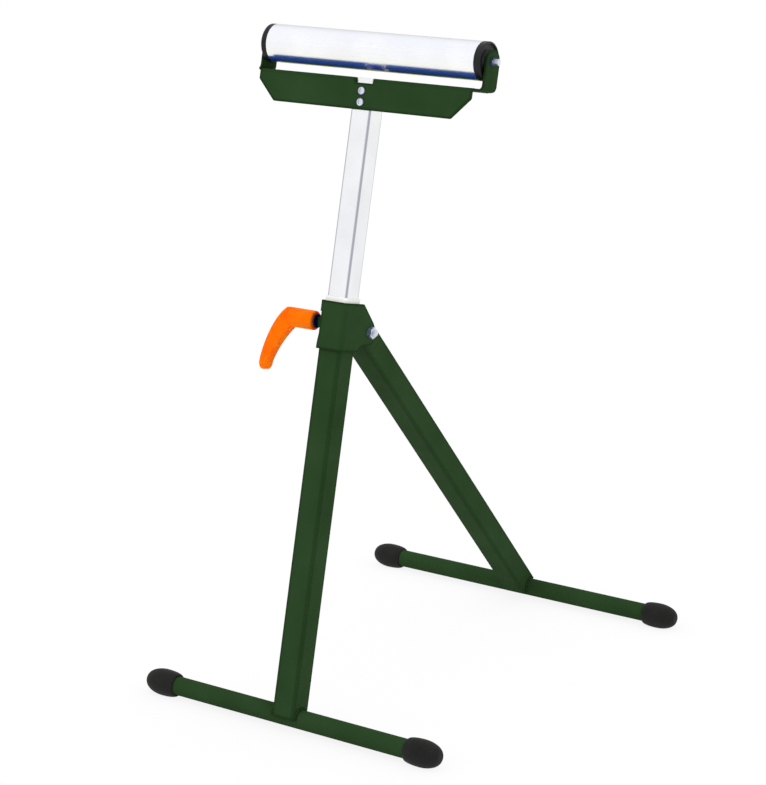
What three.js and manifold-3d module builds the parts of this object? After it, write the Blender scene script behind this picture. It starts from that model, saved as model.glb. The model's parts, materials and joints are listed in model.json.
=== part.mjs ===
// Folding roller stand: a leaning square column on a round foot bar, a rear leg
// that folds on a bolt in the collar, and a clamped sliding mast with a roller head.
// Millimetres. X runs along the roller and the foot bars, -Y is the front, +Z is up.
// The origin lies on the floor, midway between the two foot bars.

import * as THREE from 'three';
import { mergeVertices } from 'three/addons/utils/BufferGeometryUtils.js';
import Module from 'manifold-3d';

const wasm = await Module();
wasm.setup();

// Stance
const foot_span = 566;
const lean_degrees = 13;
const column_height = 514;
const front_bar_length = 402;
const rear_bar_length = 452;

// Tube stock
const tube_size = 32;
const tube_wall = 1.5;
const tube_corner = 3;
const least_corner = 0.5;
const bar_diameter = 24;
const bar_wall = 1.5;
const mast_length = 530;
const mast_wall = 1.5;
const mast_corner = 2;

// Clearances
const seat_gap = 0.3;
const slide_gap = 0.5;
const turn_gap = 0.3;
const stop_gap = 0.6;
const fold_gap = 7;
const cut_over = 1;

// Rubber feet
const foot_diameter = 34;
const foot_floor_drop = 15;
const foot_length = 46;
const foot_socket_depth = 28;
const foot_mouth_lip = 1.2;
const foot_shoulder = 20;
const foot_end_diameter = 8;

// Collar and pivot
const collar_sheet = 3;
const collar_length = 59;
const collar_corner = 4.5;
const collar_top_ledge = 4;
const column_recess = 1;
const guide_rise = 6;
const pivot_drop = 34;
const pivot_margin = 15;
const cheek_front_drop = 18;
const cheek_nose = 9;
const cheek_nose_rise = 9.75;
const cheek_back_drop = 4.5;
const pivot_diameter = 8;
const pivot_nut_flats = 13;
const pivot_nut_height = 6.5;
const pivot_head_height = 5.3;
const pivot_tail = 4;
const leg_saddle = 6;

// Clamp screw and lever
const clamp_drop = 27.7;
const stud_diameter = 10;
const stud_grip = 24;
const weld_nut_flats = 17;
const weld_nut_height = 10;
const pad_thickness = 3;
const washer_diameter = 18;
const washer_thickness = 2.5;
const washer_standoff = 5.5;
const hub_diameter = 24;
const hub_length = 34;
const hub_bevel = 2;
const arm_depth = 14;
const arm_width = 13.4;
const arm_drop = 69.5;
const arm_throw = 39;
const arm_elbow = 6.8;
const arm_tip = 10.4;
const arm_back_bow = [18.7, -2];
const arm_back_end = [2.5, 21.9];
const arm_inner_end = [3.8, 13];
const arm_inner_bow = [14.4, -27.6];
const arm_round = 2;
const window_above = 14;
const window_below = 13.5;
const window_bevel = 19;

// Head
const head_rise = 232;
const plate_width = 304;
const plate_height = 38.5;
const plate_sheet = 2.5;
const plate_chamfer_width = 25;
const plate_chamfer_height = 25.5;
const plate_bend = 4;
const ear_outer_width = 321;
const ear_radius = 15;
const ear_offset = 3;
const ear_corner = 9;
const ear_front_setback = 8;
const ear_fillet = 7;
const ear_rise = 14.3;
const ear_step = 1;
const notch_width = 25;
const notch_depth = 6.5;
const notch_offset = 1.8;
const screw_diameter = 6;
const screw_head_diameter = 10;
const screw_head_height = 4;
const screw_pitch = 13.5;
const screw_edge = 9;
const screw_nut_flats = 10;
const screw_nut_height = 5;
const screw_tail = 2;

// Roller
const roller_diameter = 47;
const roller_wall = 2;
const roller_rise = 33.5;
const roller_setback = 6;
const cap_rim = 8;
const cap_dish = 2.5;
const cap_land = 1;
const cap_ring = 2.5;
const cap_edge = 1;
const cap_plug_length = 16;
const bush_flange = 1;
const bush_diameter = 14;
const bush_flange_diameter = 18;
const axle_diameter = 8;
const axle_tail = 7.5;
const clip_diameter = 12;
const clip_thickness = 1.5;
const ear_clearance = 0.3;

// Facets
const round_sides = 40;
const small_sides = 24;

// Worked-out places
const bar_z = foot_floor_drop;
const front_y = -foot_span / 2;
const rear_y = foot_span / 2;
const lean = THREE.MathUtils.degToRad(lean_degrees);
const half_tube = tube_size / 2;
const mast_size = tube_size - 2 * tube_wall - 2 * slide_gap;
const half_mast = mast_size / 2;
const collar_inner = half_tube + seat_gap;
const collar_outer = collar_inner + collar_sheet;
const collar_base = column_height - collar_length;
const pivot_back = tube_size + fold_gap;
const pivot_height = column_height - pivot_drop;
const clamp_height = column_height - clamp_drop;
const plate_bottom = column_height + head_rise;
const plate_top = plate_bottom + plate_height;
const plate_back = -half_mast - seat_gap;
const plate_front = plate_back - plate_sheet;
const shelf_under = plate_top - plate_sheet;
const bend_in = plate_bend - plate_sheet;
const mast_top = plate_top;
const mast_bottom = mast_top - mast_length;
const roller_height = plate_top + roller_rise;
const ear_outer = ear_outer_width / 2;
const ear_inner = ear_outer - plate_sheet;
const ear_middle = roller_setback + ear_offset;
const shelf_back = ear_middle + ear_radius;
const cap_outer = ear_inner - ear_clearance - bush_flange;
const tube_end = cap_outer - cap_rim;
const roller_radius = roller_diameter / 2;

// The column frame: its Y points rearward and its Z up the leaning column.
const column_frame = new THREE.Matrix4()
  .makeRotationX(-lean)
  .setPosition(0, front_y, bar_z);
const to_column = column_frame.clone().invert();

const paint = (color, metalness, roughness) =>
  new THREE.MeshStandardMaterial({ color, metalness, roughness });
const green_paint = paint(0x324b2e, 0.1, 0.5);
const bright_zinc = paint(0xdcdcdc, 0.9, 0.25);
const black_rubber = paint(0x262626, 0.0, 0.8);
const black_plastic = paint(0x1c1c1e, 0.0, 0.5);
const orange_plastic = paint(0xff7a00, 0.0, 0.45);
const dark_steel = paint(0x2c2f3a, 0.8, 0.4);
const grey_nylon = paint(0x8c8c8c, 0.0, 0.6);
const white_nylon = paint(0xf0f0ee, 0.0, 0.5);

const stand = new THREE.Group();
stand.name = 'roller_stand';

// Turns a three.js geometry into a solid.
const solid_of = (geometry) => {
  const bare = geometry.clone();
  bare.deleteAttribute('normal');
  bare.deleteAttribute('uv');
  const merged = mergeVertices(bare, 1e-4);
  return new wasm.Manifold(
    new wasm.Mesh({
      numProp: 3,
      vertProperties: new Float32Array(merged.attributes.position.array),
      triVerts: new Uint32Array(merged.index.array),
    }),
  );
};

const placed = (solid, matrix) => solid.transform(matrix.toArray());

// Adds one solid as a named piece of the stand.
const add_piece = (name, solid, material) => {
  const mesh = solid.getMesh();
  const geometry = new THREE.BufferGeometry();
  geometry.setAttribute('position', new THREE.BufferAttribute(mesh.vertProperties, 3));
  geometry.setIndex(new THREE.BufferAttribute(mesh.triVerts, 1));
  geometry.computeVertexNormals();
  const piece = new THREE.Mesh(geometry, material);
  piece.name = name;
  stand.add(piece);
};

const add_leaning = (name, solid, material) => add_piece(name, placed(solid, column_frame), material);

const extruded = (shape, depth) =>
  solid_of(new THREE.ExtrudeGeometry(shape, { depth, bevelEnabled: false, curveSegments: 8 }));

// A shape drawn in (y, z) and run along X.
const along_x = (shape, from, to) =>
  placed(
    extruded(shape, to - from),
    new THREE.Matrix4().set(0, 0, 1, from, 1, 0, 0, 0, 0, 1, 0, 0, 0, 0, 0, 1),
  );

// A shape drawn in (x, z) and run along Y.
const along_y = (shape, from, to) =>
  placed(
    extruded(shape, to - from),
    new THREE.Matrix4().set(1, 0, 0, 0, 0, 0, -1, to, 0, 1, 0, 0, 0, 0, 0, 1),
  );

// A shape drawn in (x, y) and run along Z.
const along_z = (shape, from, to) => extruded(shape, to - from).translate([0, 0, from]);

const box = (x0, x1, y0, y1, z0, z1) =>
  solid_of(new THREE.BoxGeometry(x1 - x0, y1 - y0, z1 - z0)).translate([
    (x0 + x1) / 2,
    (y0 + y1) / 2,
    (z0 + z1) / 2,
  ]);

const outline = (points) => new THREE.Shape(points.map(([u, v]) => new THREE.Vector2(u, v)));

// A profile of [distance, radius] pairs turned about the X axis.
const turned_x = (profile, sides = round_sides) => {
  const points = profile.map(([along, radius]) => new THREE.Vector2(radius, along));
  const lathe = new THREE.LatheGeometry(points, sides);
  lathe.rotateZ(-Math.PI / 2);
  return solid_of(lathe);
};

const rod_x = (diameter, from, to, sides = round_sides) =>
  turned_x(
    [
      [from, 0],
      [from, diameter / 2],
      [to, diameter / 2],
      [to, 0],
    ],
    sides,
  );

const pipe_x = (outer, inner, from, to, sides = round_sides) =>
  rod_x(outer, from, to, sides).subtract(rod_x(inner, from - cut_over, to + cut_over, sides));

const rod_y = (diameter, from, to, sides = small_sides) =>
  placed(rod_x(diameter, from, to, sides), new THREE.Matrix4().makeRotationZ(Math.PI / 2));

const hex_x = (flats, from, to) => {
  const corner = flats / Math.sqrt(3);
  const points = [];
  for (let side = 0; side < 6; side += 1) {
    const angle = (side * Math.PI) / 3 + Math.PI / 2;
    points.push([corner * Math.cos(angle), corner * Math.sin(angle)]);
  }
  return along_x(outline(points), from, to);
};

const rounded_square = (half, radius, target) => {
  const inside = half - radius;
  target.moveTo(-inside, -half);
  target.lineTo(inside, -half);
  target.absarc(inside, -inside, radius, -Math.PI / 2, 0, false);
  target.absarc(inside, inside, radius, 0, Math.PI / 2, false);
  target.absarc(-inside, inside, radius, Math.PI / 2, Math.PI, false);
  target.absarc(-inside, -inside, radius, Math.PI, 1.5 * Math.PI, false);
  return target;
};

const square_tube = (size, wall, corner, from, to) => {
  const section = rounded_square(size / 2, corner, new THREE.Shape());
  const bore_corner = Math.max(corner - wall, least_corner);
  section.holes.push(rounded_square(size / 2 - wall, bore_corner, new THREE.Path()));
  return along_z(section, from, to);
};

// Front column: the tube straddles its foot bar and has a hole for the clamp screw.
const bar_notch = bar_diameter + 2 * seat_gap;
const stud_bore = stud_diameter + 2 * turn_gap;
const clamp_bore = rod_x(stud_bore, -tube_size, 0, small_sides).translate([0, 0, clamp_height]);
const column_top = column_height - column_recess;
const front_column = square_tube(tube_size, tube_wall, tube_corner, 0, column_top)
  .subtract(rod_x(bar_notch, -tube_size, tube_size))
  .subtract(clamp_bore);
add_leaning('front_column', front_column, green_paint);

// Mast guide: a white ring that sits on the column's top inside the collar and guides the mast.
const guide_top = column_height + guide_rise;
const mast_guide = square_tube(tube_size, tube_wall, tube_corner, column_top + seat_gap, guide_top);
add_leaning('mast_guide', mast_guide, white_nylon);

// Foot bars and their rubber caps.
const add_foot = (prefix, length, y) => {
  const half = length / 2;
  const bore = bar_diameter - 2 * bar_wall;
  const bar = pipe_x(bar_diameter, bore, -half, half).translate([0, y, bar_z]);
  add_piece(`${prefix}_foot_bar`, bar, green_paint);

  const socket = bar_diameter / 2 + seat_gap;
  const mouth = socket + foot_mouth_lip;
  const widest = foot_diameter / 2;
  const tip = foot_end_diameter / 2;
  const dome_length = foot_length - foot_shoulder;
  const profile = [[0, socket]];
  const round_steps = 5;
  for (let step = 0; step <= round_steps; step += 1) {
    const turn = (step / round_steps) * (Math.PI / 2);
    profile.push([foot_shoulder * (1 - Math.cos(turn)), mouth + (widest - mouth) * Math.sin(turn)]);
  }
  for (let step = 0; step <= round_steps; step += 1) {
    const turn = (step / round_steps) * (Math.PI / 2);
    profile.push([
      foot_shoulder + dome_length * Math.sin(turn),
      tip + (widest - tip) * Math.cos(turn),
    ]);
  }
  profile.push([foot_length, 0], [foot_socket_depth + seat_gap, 0], [foot_socket_depth + seat_gap, socket]);
  profile.push([0, socket]);
  const past = widest + cut_over;
  const floor_cut = box(-cut_over, foot_length + cut_over, -past, past, -past, -foot_floor_drop);
  const cap = turned_x(profile).subtract(floor_cut);
  const right_cap = cap.translate([half - foot_socket_depth, y, bar_z]);
  const turned = placed(cap, new THREE.Matrix4().makeRotationZ(Math.PI));
  const left_cap = turned.translate([foot_socket_depth - half, y, bar_z]);
  add_piece(`${prefix}_foot_cap_right`, right_cap, black_rubber);
  add_piece(`${prefix}_foot_cap_left`, left_cap, black_rubber);
};
add_foot('front', front_bar_length, front_y);
add_foot('rear', rear_bar_length, rear_y);

// Collar: a U of sheet round the column, cut to the cheek outline, with a window for the weld nut.
const cheek_back = pivot_back + pivot_margin;
const collar_past = collar_outer + cut_over;
const u_section = new THREE.Shape();
u_section.moveTo(collar_outer, cheek_back + cut_over);
u_section.lineTo(collar_inner, cheek_back + cut_over);
u_section.lineTo(collar_inner, tube_corner - half_tube);
u_section.absarc(
  half_tube - tube_corner,
  tube_corner - half_tube,
  tube_corner + seat_gap,
  0,
  -Math.PI / 2,
  true,
);
u_section.lineTo(tube_corner - half_tube, -collar_inner);
u_section.absarc(
  tube_corner - half_tube,
  tube_corner - half_tube,
  tube_corner + seat_gap,
  -Math.PI / 2,
  -Math.PI,
  true,
);
u_section.lineTo(-collar_inner, cheek_back + cut_over);
u_section.lineTo(-collar_outer, cheek_back + cut_over);
u_section.lineTo(-collar_outer, collar_corner - collar_outer);
u_section.absarc(
  collar_corner - collar_outer,
  collar_corner - collar_outer,
  collar_corner,
  Math.PI,
  1.5 * Math.PI,
  false,
);
u_section.lineTo(collar_outer - collar_corner, -collar_outer);
u_section.absarc(
  collar_outer - collar_corner,
  collar_corner - collar_outer,
  collar_corner,
  -Math.PI / 2,
  0,
  false,
);
const cheek_outline = outline([
  [-collar_past, collar_base],
  [half_tube, collar_base],
  [pivot_back - pivot_margin, pivot_height - cheek_front_drop],
  [pivot_back + cheek_nose, pivot_height - pivot_margin],
  [cheek_back, pivot_height - cheek_back_drop],
  [pivot_back + cheek_nose, pivot_height + cheek_nose_rise],
  [half_tube + collar_top_ledge, column_height],
  [-collar_past, column_height],
]);
const window_cut = along_y(
  outline([
    [-collar_inner, clamp_height + window_above],
    [-collar_inner, clamp_height - window_below],
    [-collar_outer, clamp_height - window_below - window_bevel],
    [-collar_past, clamp_height - window_below - window_bevel],
    [-collar_past, clamp_height + window_above],
  ]),
  -collar_past,
  half_tube,
);
const pivot_bore = rod_x(pivot_diameter + 2 * turn_gap, -tube_size, tube_size, small_sides).translate([
  0,
  pivot_back,
  pivot_height,
]);
const collar_bracket = along_z(u_section, collar_base - cut_over, column_height + cut_over)
  .intersect(along_x(cheek_outline, -collar_past, collar_past))
  .subtract(window_cut)
  .subtract(pivot_bore);
add_leaning('collar_bracket', collar_bracket, green_paint);

// Pivot bolt, head on the left and nut on the right.
const pivot_seat = collar_outer + seat_gap;
const at_pivot = [0, pivot_back, pivot_height];
const pivot_bolt = rod_x(
  pivot_diameter,
  -pivot_seat - pivot_head_height / 2,
  pivot_seat + pivot_nut_height + pivot_tail,
  small_sides,
).add(hex_x(pivot_nut_flats, -pivot_seat - pivot_head_height, -pivot_seat));
add_leaning('pivot_bolt', pivot_bolt.translate(at_pivot), bright_zinc);
const pivot_nut = hex_x(pivot_nut_flats, pivot_seat, pivot_seat + pivot_nut_height).subtract(
  rod_x(pivot_diameter + 2 * turn_gap, 0, 2 * tube_size, small_sides),
);
add_leaning('pivot_nut', pivot_nut.translate(at_pivot), bright_zinc);

// Rear leg: runs from the pivot to the rear bar, with its top mitred to stop on the column.
const rear_bar = new THREE.Vector3(0, rear_y, bar_z).applyMatrix4(to_column);
const leg_run = new THREE.Vector2(rear_bar.y - pivot_back, pivot_height - rear_bar.z);
const leg_length = leg_run.length();
const leg_angle = Math.atan2(leg_run.x, leg_run.y);
const leg_frame = new THREE.Matrix4()
  .makeRotationX(leg_angle)
  .setPosition(0, pivot_back, pivot_height);
const leg_foot = leg_length - leg_saddle;
const leg_top = pivot_back / Math.sin(leg_angle) + tube_size;
const leg_stop = half_tube + stop_gap;
const leg_ceiling = column_height - seat_gap;
const rear_leg = placed(square_tube(tube_size, tube_wall, tube_corner, -leg_foot, leg_top), leg_frame)
  .subtract(box(-tube_size, tube_size, -4 * tube_size, leg_stop, pivot_height - tube_size, 2 * column_height))
  .subtract(box(-tube_size, tube_size, -tube_size, 4 * tube_size, leg_ceiling, 2 * column_height))
  .subtract(rod_x(bar_notch, -tube_size, tube_size).translate([0, rear_bar.y, rear_bar.z]))
  .subtract(pivot_bore);
add_leaning('rear_leg_tube', rear_leg, green_paint);

// Clamp: weld nut on the column, pad at the screw's tip, stud, washer and lever on one axis.
const at_clamp = [0, 0, clamp_height];
const nut_outer = -half_tube - seat_gap - weld_nut_height;
const weld_nut = hex_x(weld_nut_flats, nut_outer, -half_tube - seat_gap).subtract(
  rod_x(stud_bore, -4 * tube_size, 0, small_sides),
);
add_leaning('clamp_weld_nut', weld_nut.translate(at_clamp), green_paint);
const pad_tip = -half_mast - seat_gap;
const pad = rod_x(stud_diameter, pad_tip - pad_thickness, pad_tip, small_sides);
add_leaning('clamp_pad', pad.translate(at_clamp), grey_nylon);
const stud_tip = pad_tip - pad_thickness - seat_gap;
const washer_face = nut_outer - washer_standoff;
const hub_face = washer_face - washer_thickness - seat_gap;
const stud_end = hub_face - stud_grip;
add_leaning(
  'clamp_stud',
  rod_x(stud_diameter, stud_end, stud_tip, small_sides).translate(at_clamp),
  dark_steel,
);
const washer = pipe_x(washer_diameter, stud_bore, washer_face - washer_thickness, washer_face, small_sides);
add_leaning('clamp_washer', washer.translate(at_clamp), dark_steel);

// Lever: a round hub with a curved arm that hangs down and sweeps outward.
const hub_radius = hub_diameter / 2;
const hub_end = hub_face - hub_length;
const hub_middle = hub_face - hub_length / 2;
const arm_root = hub_face - hub_length + hub_bevel;
const elbow_x = hub_end - arm_elbow;
const tip_x = hub_end - arm_throw;
const tip_z = arm_tip - arm_drop;
const tip_low = tip_z - (4 / 3) * arm_tip;
const arm_shape = new THREE.Shape();
arm_shape.moveTo(hub_middle, hub_radius);
arm_shape.lineTo(elbow_x, hub_radius);
arm_shape.bezierCurveTo(
  elbow_x - arm_back_bow[0],
  arm_back_bow[1],
  tip_x + arm_back_end[0],
  tip_z + arm_back_end[1],
  tip_x,
  tip_z,
);
arm_shape.bezierCurveTo(tip_x, tip_low, tip_x + arm_width, tip_low, tip_x + arm_width, tip_z);
arm_shape.bezierCurveTo(
  tip_x + arm_width + arm_inner_end[0],
  tip_z + arm_inner_end[1],
  arm_root - arm_inner_bow[0],
  arm_inner_bow[1],
  arm_root,
  -hub_radius,
);
arm_shape.lineTo(hub_middle, -hub_radius);
const arm_geometry = new THREE.ExtrudeGeometry(arm_shape, {
  depth: arm_depth - 2 * arm_round,
  bevelEnabled: true,
  bevelThickness: arm_round,
  bevelSize: arm_round,
  bevelOffset: -arm_round,
  bevelSegments: 2,
  curveSegments: 8,
});
arm_geometry.translate(0, 0, arm_round - arm_depth / 2);
arm_geometry.rotateX(Math.PI / 2);
const arm = solid_of(arm_geometry);
const hub = turned_x(
  [
    [hub_face, 0],
    [hub_face, hub_radius],
    [hub_end, hub_radius],
    [hub_end - hub_bevel, hub_radius - hub_bevel],
    [hub_end - hub_bevel, 0],
  ].reverse(),
);
const lever = hub
  .add(arm)
  .subtract(rod_x(stud_bore, stud_end - seat_gap, 0, small_sides));
add_leaning('clamp_lever', lever.translate(at_clamp), orange_plastic);

// Mast: the sliding square tube, drilled for the head screws.
const upper_screw = plate_bottom + screw_edge + screw_pitch;
const lower_screw = plate_bottom + screw_edge;
const screw_hole = (height) =>
  rod_y(screw_diameter + 2 * seat_gap, plate_front - cut_over, half_mast + cut_over).translate([
    0,
    0,
    height,
  ]);
const mast = square_tube(mast_size, mast_wall, mast_corner, mast_bottom, mast_top)
  .subtract(screw_hole(upper_screw))
  .subtract(screw_hole(lower_screw));
add_leaning('mast_tube', mast, bright_zinc);

// Head bracket: front plate and shelf bent from one sheet, with two ears turned up at the ends.
// The mast's top comes up through a hole in the shelf and shows in a notch of the plate.
const half_plate = plate_width / 2;
const sheet_section = new THREE.Shape();
sheet_section.moveTo(plate_front, plate_bottom);
sheet_section.lineTo(plate_back, plate_bottom);
sheet_section.lineTo(plate_back, shelf_under - bend_in);
sheet_section.absarc(plate_back + bend_in, shelf_under - bend_in, bend_in, Math.PI, Math.PI / 2, true);
sheet_section.lineTo(shelf_back, shelf_under);
sheet_section.lineTo(shelf_back, plate_top);
sheet_section.lineTo(plate_front + plate_bend, plate_top);
sheet_section.absarc(
  plate_front + plate_bend,
  plate_top - plate_bend,
  plate_bend,
  Math.PI / 2,
  Math.PI,
  false,
);
const corner_cut = along_y(
  outline([
    [half_plate - plate_chamfer_width, plate_bottom - cut_over],
    [half_plate + cut_over, plate_bottom - cut_over],
    [half_plate + cut_over, plate_bottom + plate_chamfer_height],
    [half_plate, plate_bottom + plate_chamfer_height],
    [half_plate - plate_chamfer_width, plate_bottom],
  ]),
  plate_front - cut_over,
  plate_back + cut_over,
);
const mirror_x = new THREE.Matrix4().makeRotationZ(Math.PI);
const corner_cut_left = placed(corner_cut, mirror_x).translate([0, plate_front + plate_back, 0]);
const notch_cut = box(
  notch_offset - notch_width / 2,
  notch_offset + notch_width / 2,
  plate_front - cut_over,
  plate_back + cut_over,
  plate_top - notch_depth,
  plate_top + cut_over,
);
const hole_reach = half_mast + seat_gap;
const mast_hole = box(
  -hole_reach,
  hole_reach,
  plate_back,
  hole_reach,
  shelf_under - plate_bend,
  plate_top + cut_over,
);
const ear_top = roller_height + ear_rise;
const ear_front = ear_middle - ear_radius;
const trough_section = new THREE.Shape();
trough_section.moveTo(-ear_outer, ear_top + cut_over);
trough_section.lineTo(-ear_outer, shelf_under + plate_bend);
trough_section.absarc(
  plate_bend - ear_outer,
  shelf_under + plate_bend,
  plate_bend,
  Math.PI,
  1.5 * Math.PI,
  false,
);
trough_section.lineTo(ear_outer - plate_bend, shelf_under);
trough_section.absarc(ear_outer - plate_bend, shelf_under + plate_bend, plate_bend, -Math.PI / 2, 0, false);
trough_section.lineTo(ear_outer, ear_top + cut_over);
trough_section.lineTo(ear_inner, ear_top + cut_over);
trough_section.lineTo(ear_inner, plate_top + bend_in);
trough_section.absarc(ear_inner - bend_in, plate_top + bend_in, bend_in, 0, -Math.PI / 2, true);
trough_section.lineTo(bend_in - ear_inner, plate_top);
trough_section.absarc(bend_in - ear_inner, plate_top + bend_in, bend_in, -Math.PI / 2, -Math.PI, true);
trough_section.lineTo(-ear_inner, ear_top + cut_over);
const ear_outline = new THREE.Shape();
const ear_root = plate_front + ear_front_setback;
const ear_foot = plate_top + ear_step;
ear_outline.moveTo(ear_root, shelf_under - cut_over);
ear_outline.lineTo(shelf_back - ear_corner, shelf_under - cut_over);
ear_outline.lineTo(shelf_back - ear_corner, shelf_under);
ear_outline.absarc(shelf_back - ear_corner, shelf_under + ear_corner, ear_corner, -Math.PI / 2, 0, false);
ear_outline.lineTo(shelf_back, ear_top - ear_radius);
ear_outline.absarc(ear_middle, ear_top - ear_radius, ear_radius, 0, Math.PI, false);
ear_outline.lineTo(ear_front, ear_foot + ear_fillet);
ear_outline.quadraticCurveTo(ear_front, ear_foot, ear_root, ear_foot);
const trough = along_y(trough_section, ear_root, shelf_back).intersect(
  along_x(ear_outline, -ear_outer - cut_over, ear_outer + cut_over),
);
const at_axle = [0, roller_setback, roller_height];
const axle_bore = rod_x(axle_diameter + 2 * seat_gap, -ear_outer_width, ear_outer_width, small_sides);
const head_bracket = along_x(sheet_section, -half_plate, half_plate)
  .subtract(corner_cut)
  .subtract(corner_cut_left)
  .add(trough)
  .subtract(notch_cut)
  .subtract(mast_hole)
  .subtract(screw_hole(upper_screw))
  .subtract(screw_hole(lower_screw))
  .subtract(axle_bore.translate(at_axle));
add_leaning('head_bracket', head_bracket, green_paint);

// Head screws: round heads on the plate, nuts behind the mast.
const add_screw = (suffix, height) => {
  const seat = plate_front - seat_gap;
  const nut_seat = half_mast + seat_gap;
  const head_radius = screw_head_diameter / 2;
  const dome = [[0, 0]];
  const dome_steps = 4;
  for (let step = 0; step <= dome_steps; step += 1) {
    const turn = (step / dome_steps) * (Math.PI / 2);
    dome.push([screw_head_height * Math.sin(turn), head_radius * Math.cos(turn)]);
  }
  const head = turned_x(dome, small_sides);
  const upright = new THREE.Matrix4().makeRotationZ(-Math.PI / 2);
  const shank = rod_y(screw_diameter, seat - screw_head_height / 2, nut_seat + screw_nut_height + screw_tail);
  const screw = shank.add(placed(head, upright).translate([0, seat, 0]));
  add_leaning(`head_screw_${suffix}`, screw.translate([0, 0, height]), bright_zinc);
  const turn = new THREE.Matrix4().makeRotationZ(Math.PI / 2);
  const hex = placed(hex_x(screw_nut_flats, nut_seat, nut_seat + screw_nut_height), turn);
  const flat_up = placed(hex, new THREE.Matrix4().makeRotationY(Math.PI / 6));
  const nut = flat_up.subtract(rod_y(screw_diameter + 2 * seat_gap, 0, 4 * half_mast));
  add_leaning(`head_nut_${suffix}`, nut.translate([0, 0, height]), bright_zinc);
};
add_screw('upper', upper_screw);
add_screw('lower', lower_screw);

// Axle through both ears, held by a push-on clip at each end.
const clip_face = ear_outer + seat_gap;
const axle_end = clip_face + clip_thickness + axle_tail;
const roller_axle = rod_x(axle_diameter, -axle_end, axle_end, small_sides);
add_leaning('roller_axle', roller_axle.translate(at_axle), bright_zinc);
const clip_hole = axle_diameter + 2 * seat_gap;
const clip = pipe_x(clip_diameter, clip_hole, clip_face, clip_face + clip_thickness, small_sides);
add_leaning('axle_clip_right', clip.translate(at_axle), dark_steel);
add_leaning('axle_clip_left', placed(clip, mirror_x).translate(at_axle), dark_steel);

// Roller: a plain tube on two capped ends, each with a bush that runs on the axle.
const roller_bore = roller_diameter - 2 * roller_wall;
const roller_tube = pipe_x(roller_diameter, roller_bore, -tube_end, tube_end);
add_leaning('roller_tube', roller_tube.translate(at_axle), bright_zinc);
const plug_radius = roller_bore / 2 - seat_gap;
const bush_seat = bush_diameter / 2 + seat_gap;
const rim_start = tube_end + seat_gap;
const land_radius = bush_flange_diameter / 2 + cap_land;
const cap_profile = [
  [tube_end - cap_plug_length, bush_seat],
  [cap_outer, bush_seat],
  [cap_outer, land_radius],
  [cap_outer - cap_dish, land_radius + cap_dish],
  [cap_outer - cap_dish, roller_radius - cap_ring - cap_edge],
  [cap_outer, roller_radius - cap_ring],
  [cap_outer, roller_radius - cap_edge],
  [cap_outer - cap_edge, roller_radius],
  [rim_start, roller_radius],
  [rim_start, plug_radius],
  [tube_end - cap_plug_length, plug_radius],
  [tube_end - cap_plug_length, bush_seat],
];
const cap = turned_x(cap_profile.reverse());
add_leaning('roller_cap_right', cap.translate(at_axle), black_plastic);
add_leaning('roller_cap_left', placed(cap, mirror_x).translate(at_axle), black_plastic);
const bush_run = axle_diameter / 2 + turn_gap;
const flange_face = cap_outer + seat_gap;
const bush_profile = [
  [tube_end - cap_plug_length, bush_run],
  [cap_outer + bush_flange, bush_run],
  [cap_outer + bush_flange, bush_flange_diameter / 2],
  [flange_face, bush_flange_diameter / 2],
  [flange_face, bush_diameter / 2],
  [tube_end - cap_plug_length, bush_diameter / 2],
  [tube_end - cap_plug_length, bush_run],
];
const bush = turned_x(bush_profile.reverse(), small_sides);
add_leaning('roller_bush_right', bush.translate(at_axle), grey_nylon);
add_leaning('roller_bush_left', placed(bush, mirror_x).translate(at_axle), grey_nylon);

export default stand;
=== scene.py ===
"""Dresses the folding roller stand: every piece is modelled at its CAD place and gets its finish."""

import json
import math

import bmesh
import bpy
from mathutils import Matrix, Vector


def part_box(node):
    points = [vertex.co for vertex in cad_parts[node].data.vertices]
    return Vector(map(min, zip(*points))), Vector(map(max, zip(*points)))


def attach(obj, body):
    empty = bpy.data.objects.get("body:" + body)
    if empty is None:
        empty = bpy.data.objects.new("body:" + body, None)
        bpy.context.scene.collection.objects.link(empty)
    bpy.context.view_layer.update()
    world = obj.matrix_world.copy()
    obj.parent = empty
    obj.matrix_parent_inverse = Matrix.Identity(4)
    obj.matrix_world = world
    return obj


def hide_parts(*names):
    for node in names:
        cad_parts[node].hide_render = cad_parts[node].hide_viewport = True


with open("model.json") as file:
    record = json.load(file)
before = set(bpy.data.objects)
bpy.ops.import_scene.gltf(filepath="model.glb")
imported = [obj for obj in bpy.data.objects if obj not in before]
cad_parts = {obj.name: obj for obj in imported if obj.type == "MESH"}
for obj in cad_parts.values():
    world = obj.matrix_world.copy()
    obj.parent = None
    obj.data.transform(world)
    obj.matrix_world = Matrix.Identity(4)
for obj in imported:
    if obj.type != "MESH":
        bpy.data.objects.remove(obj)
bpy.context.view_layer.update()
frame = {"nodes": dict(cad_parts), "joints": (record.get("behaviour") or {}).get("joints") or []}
bpy.ops.object.select_all(action="DESELECT")

MM = 0.001

# The photograph's camera
IMAGE_WIDTH = 766
FOCAL_PIXELS = 2374.88
CAMERA_AIM = Vector((0.0, -0.183, 0.419))
CAMERA_AZIMUTH = math.radians(34.32)
CAMERA_ELEVATION = math.radians(15.35)
CAMERA_DISTANCE = 2.89208
SHIFT_RIGHT_PIXELS = 47.79
SHIFT_DOWN_PIXELS = 10.77

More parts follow.
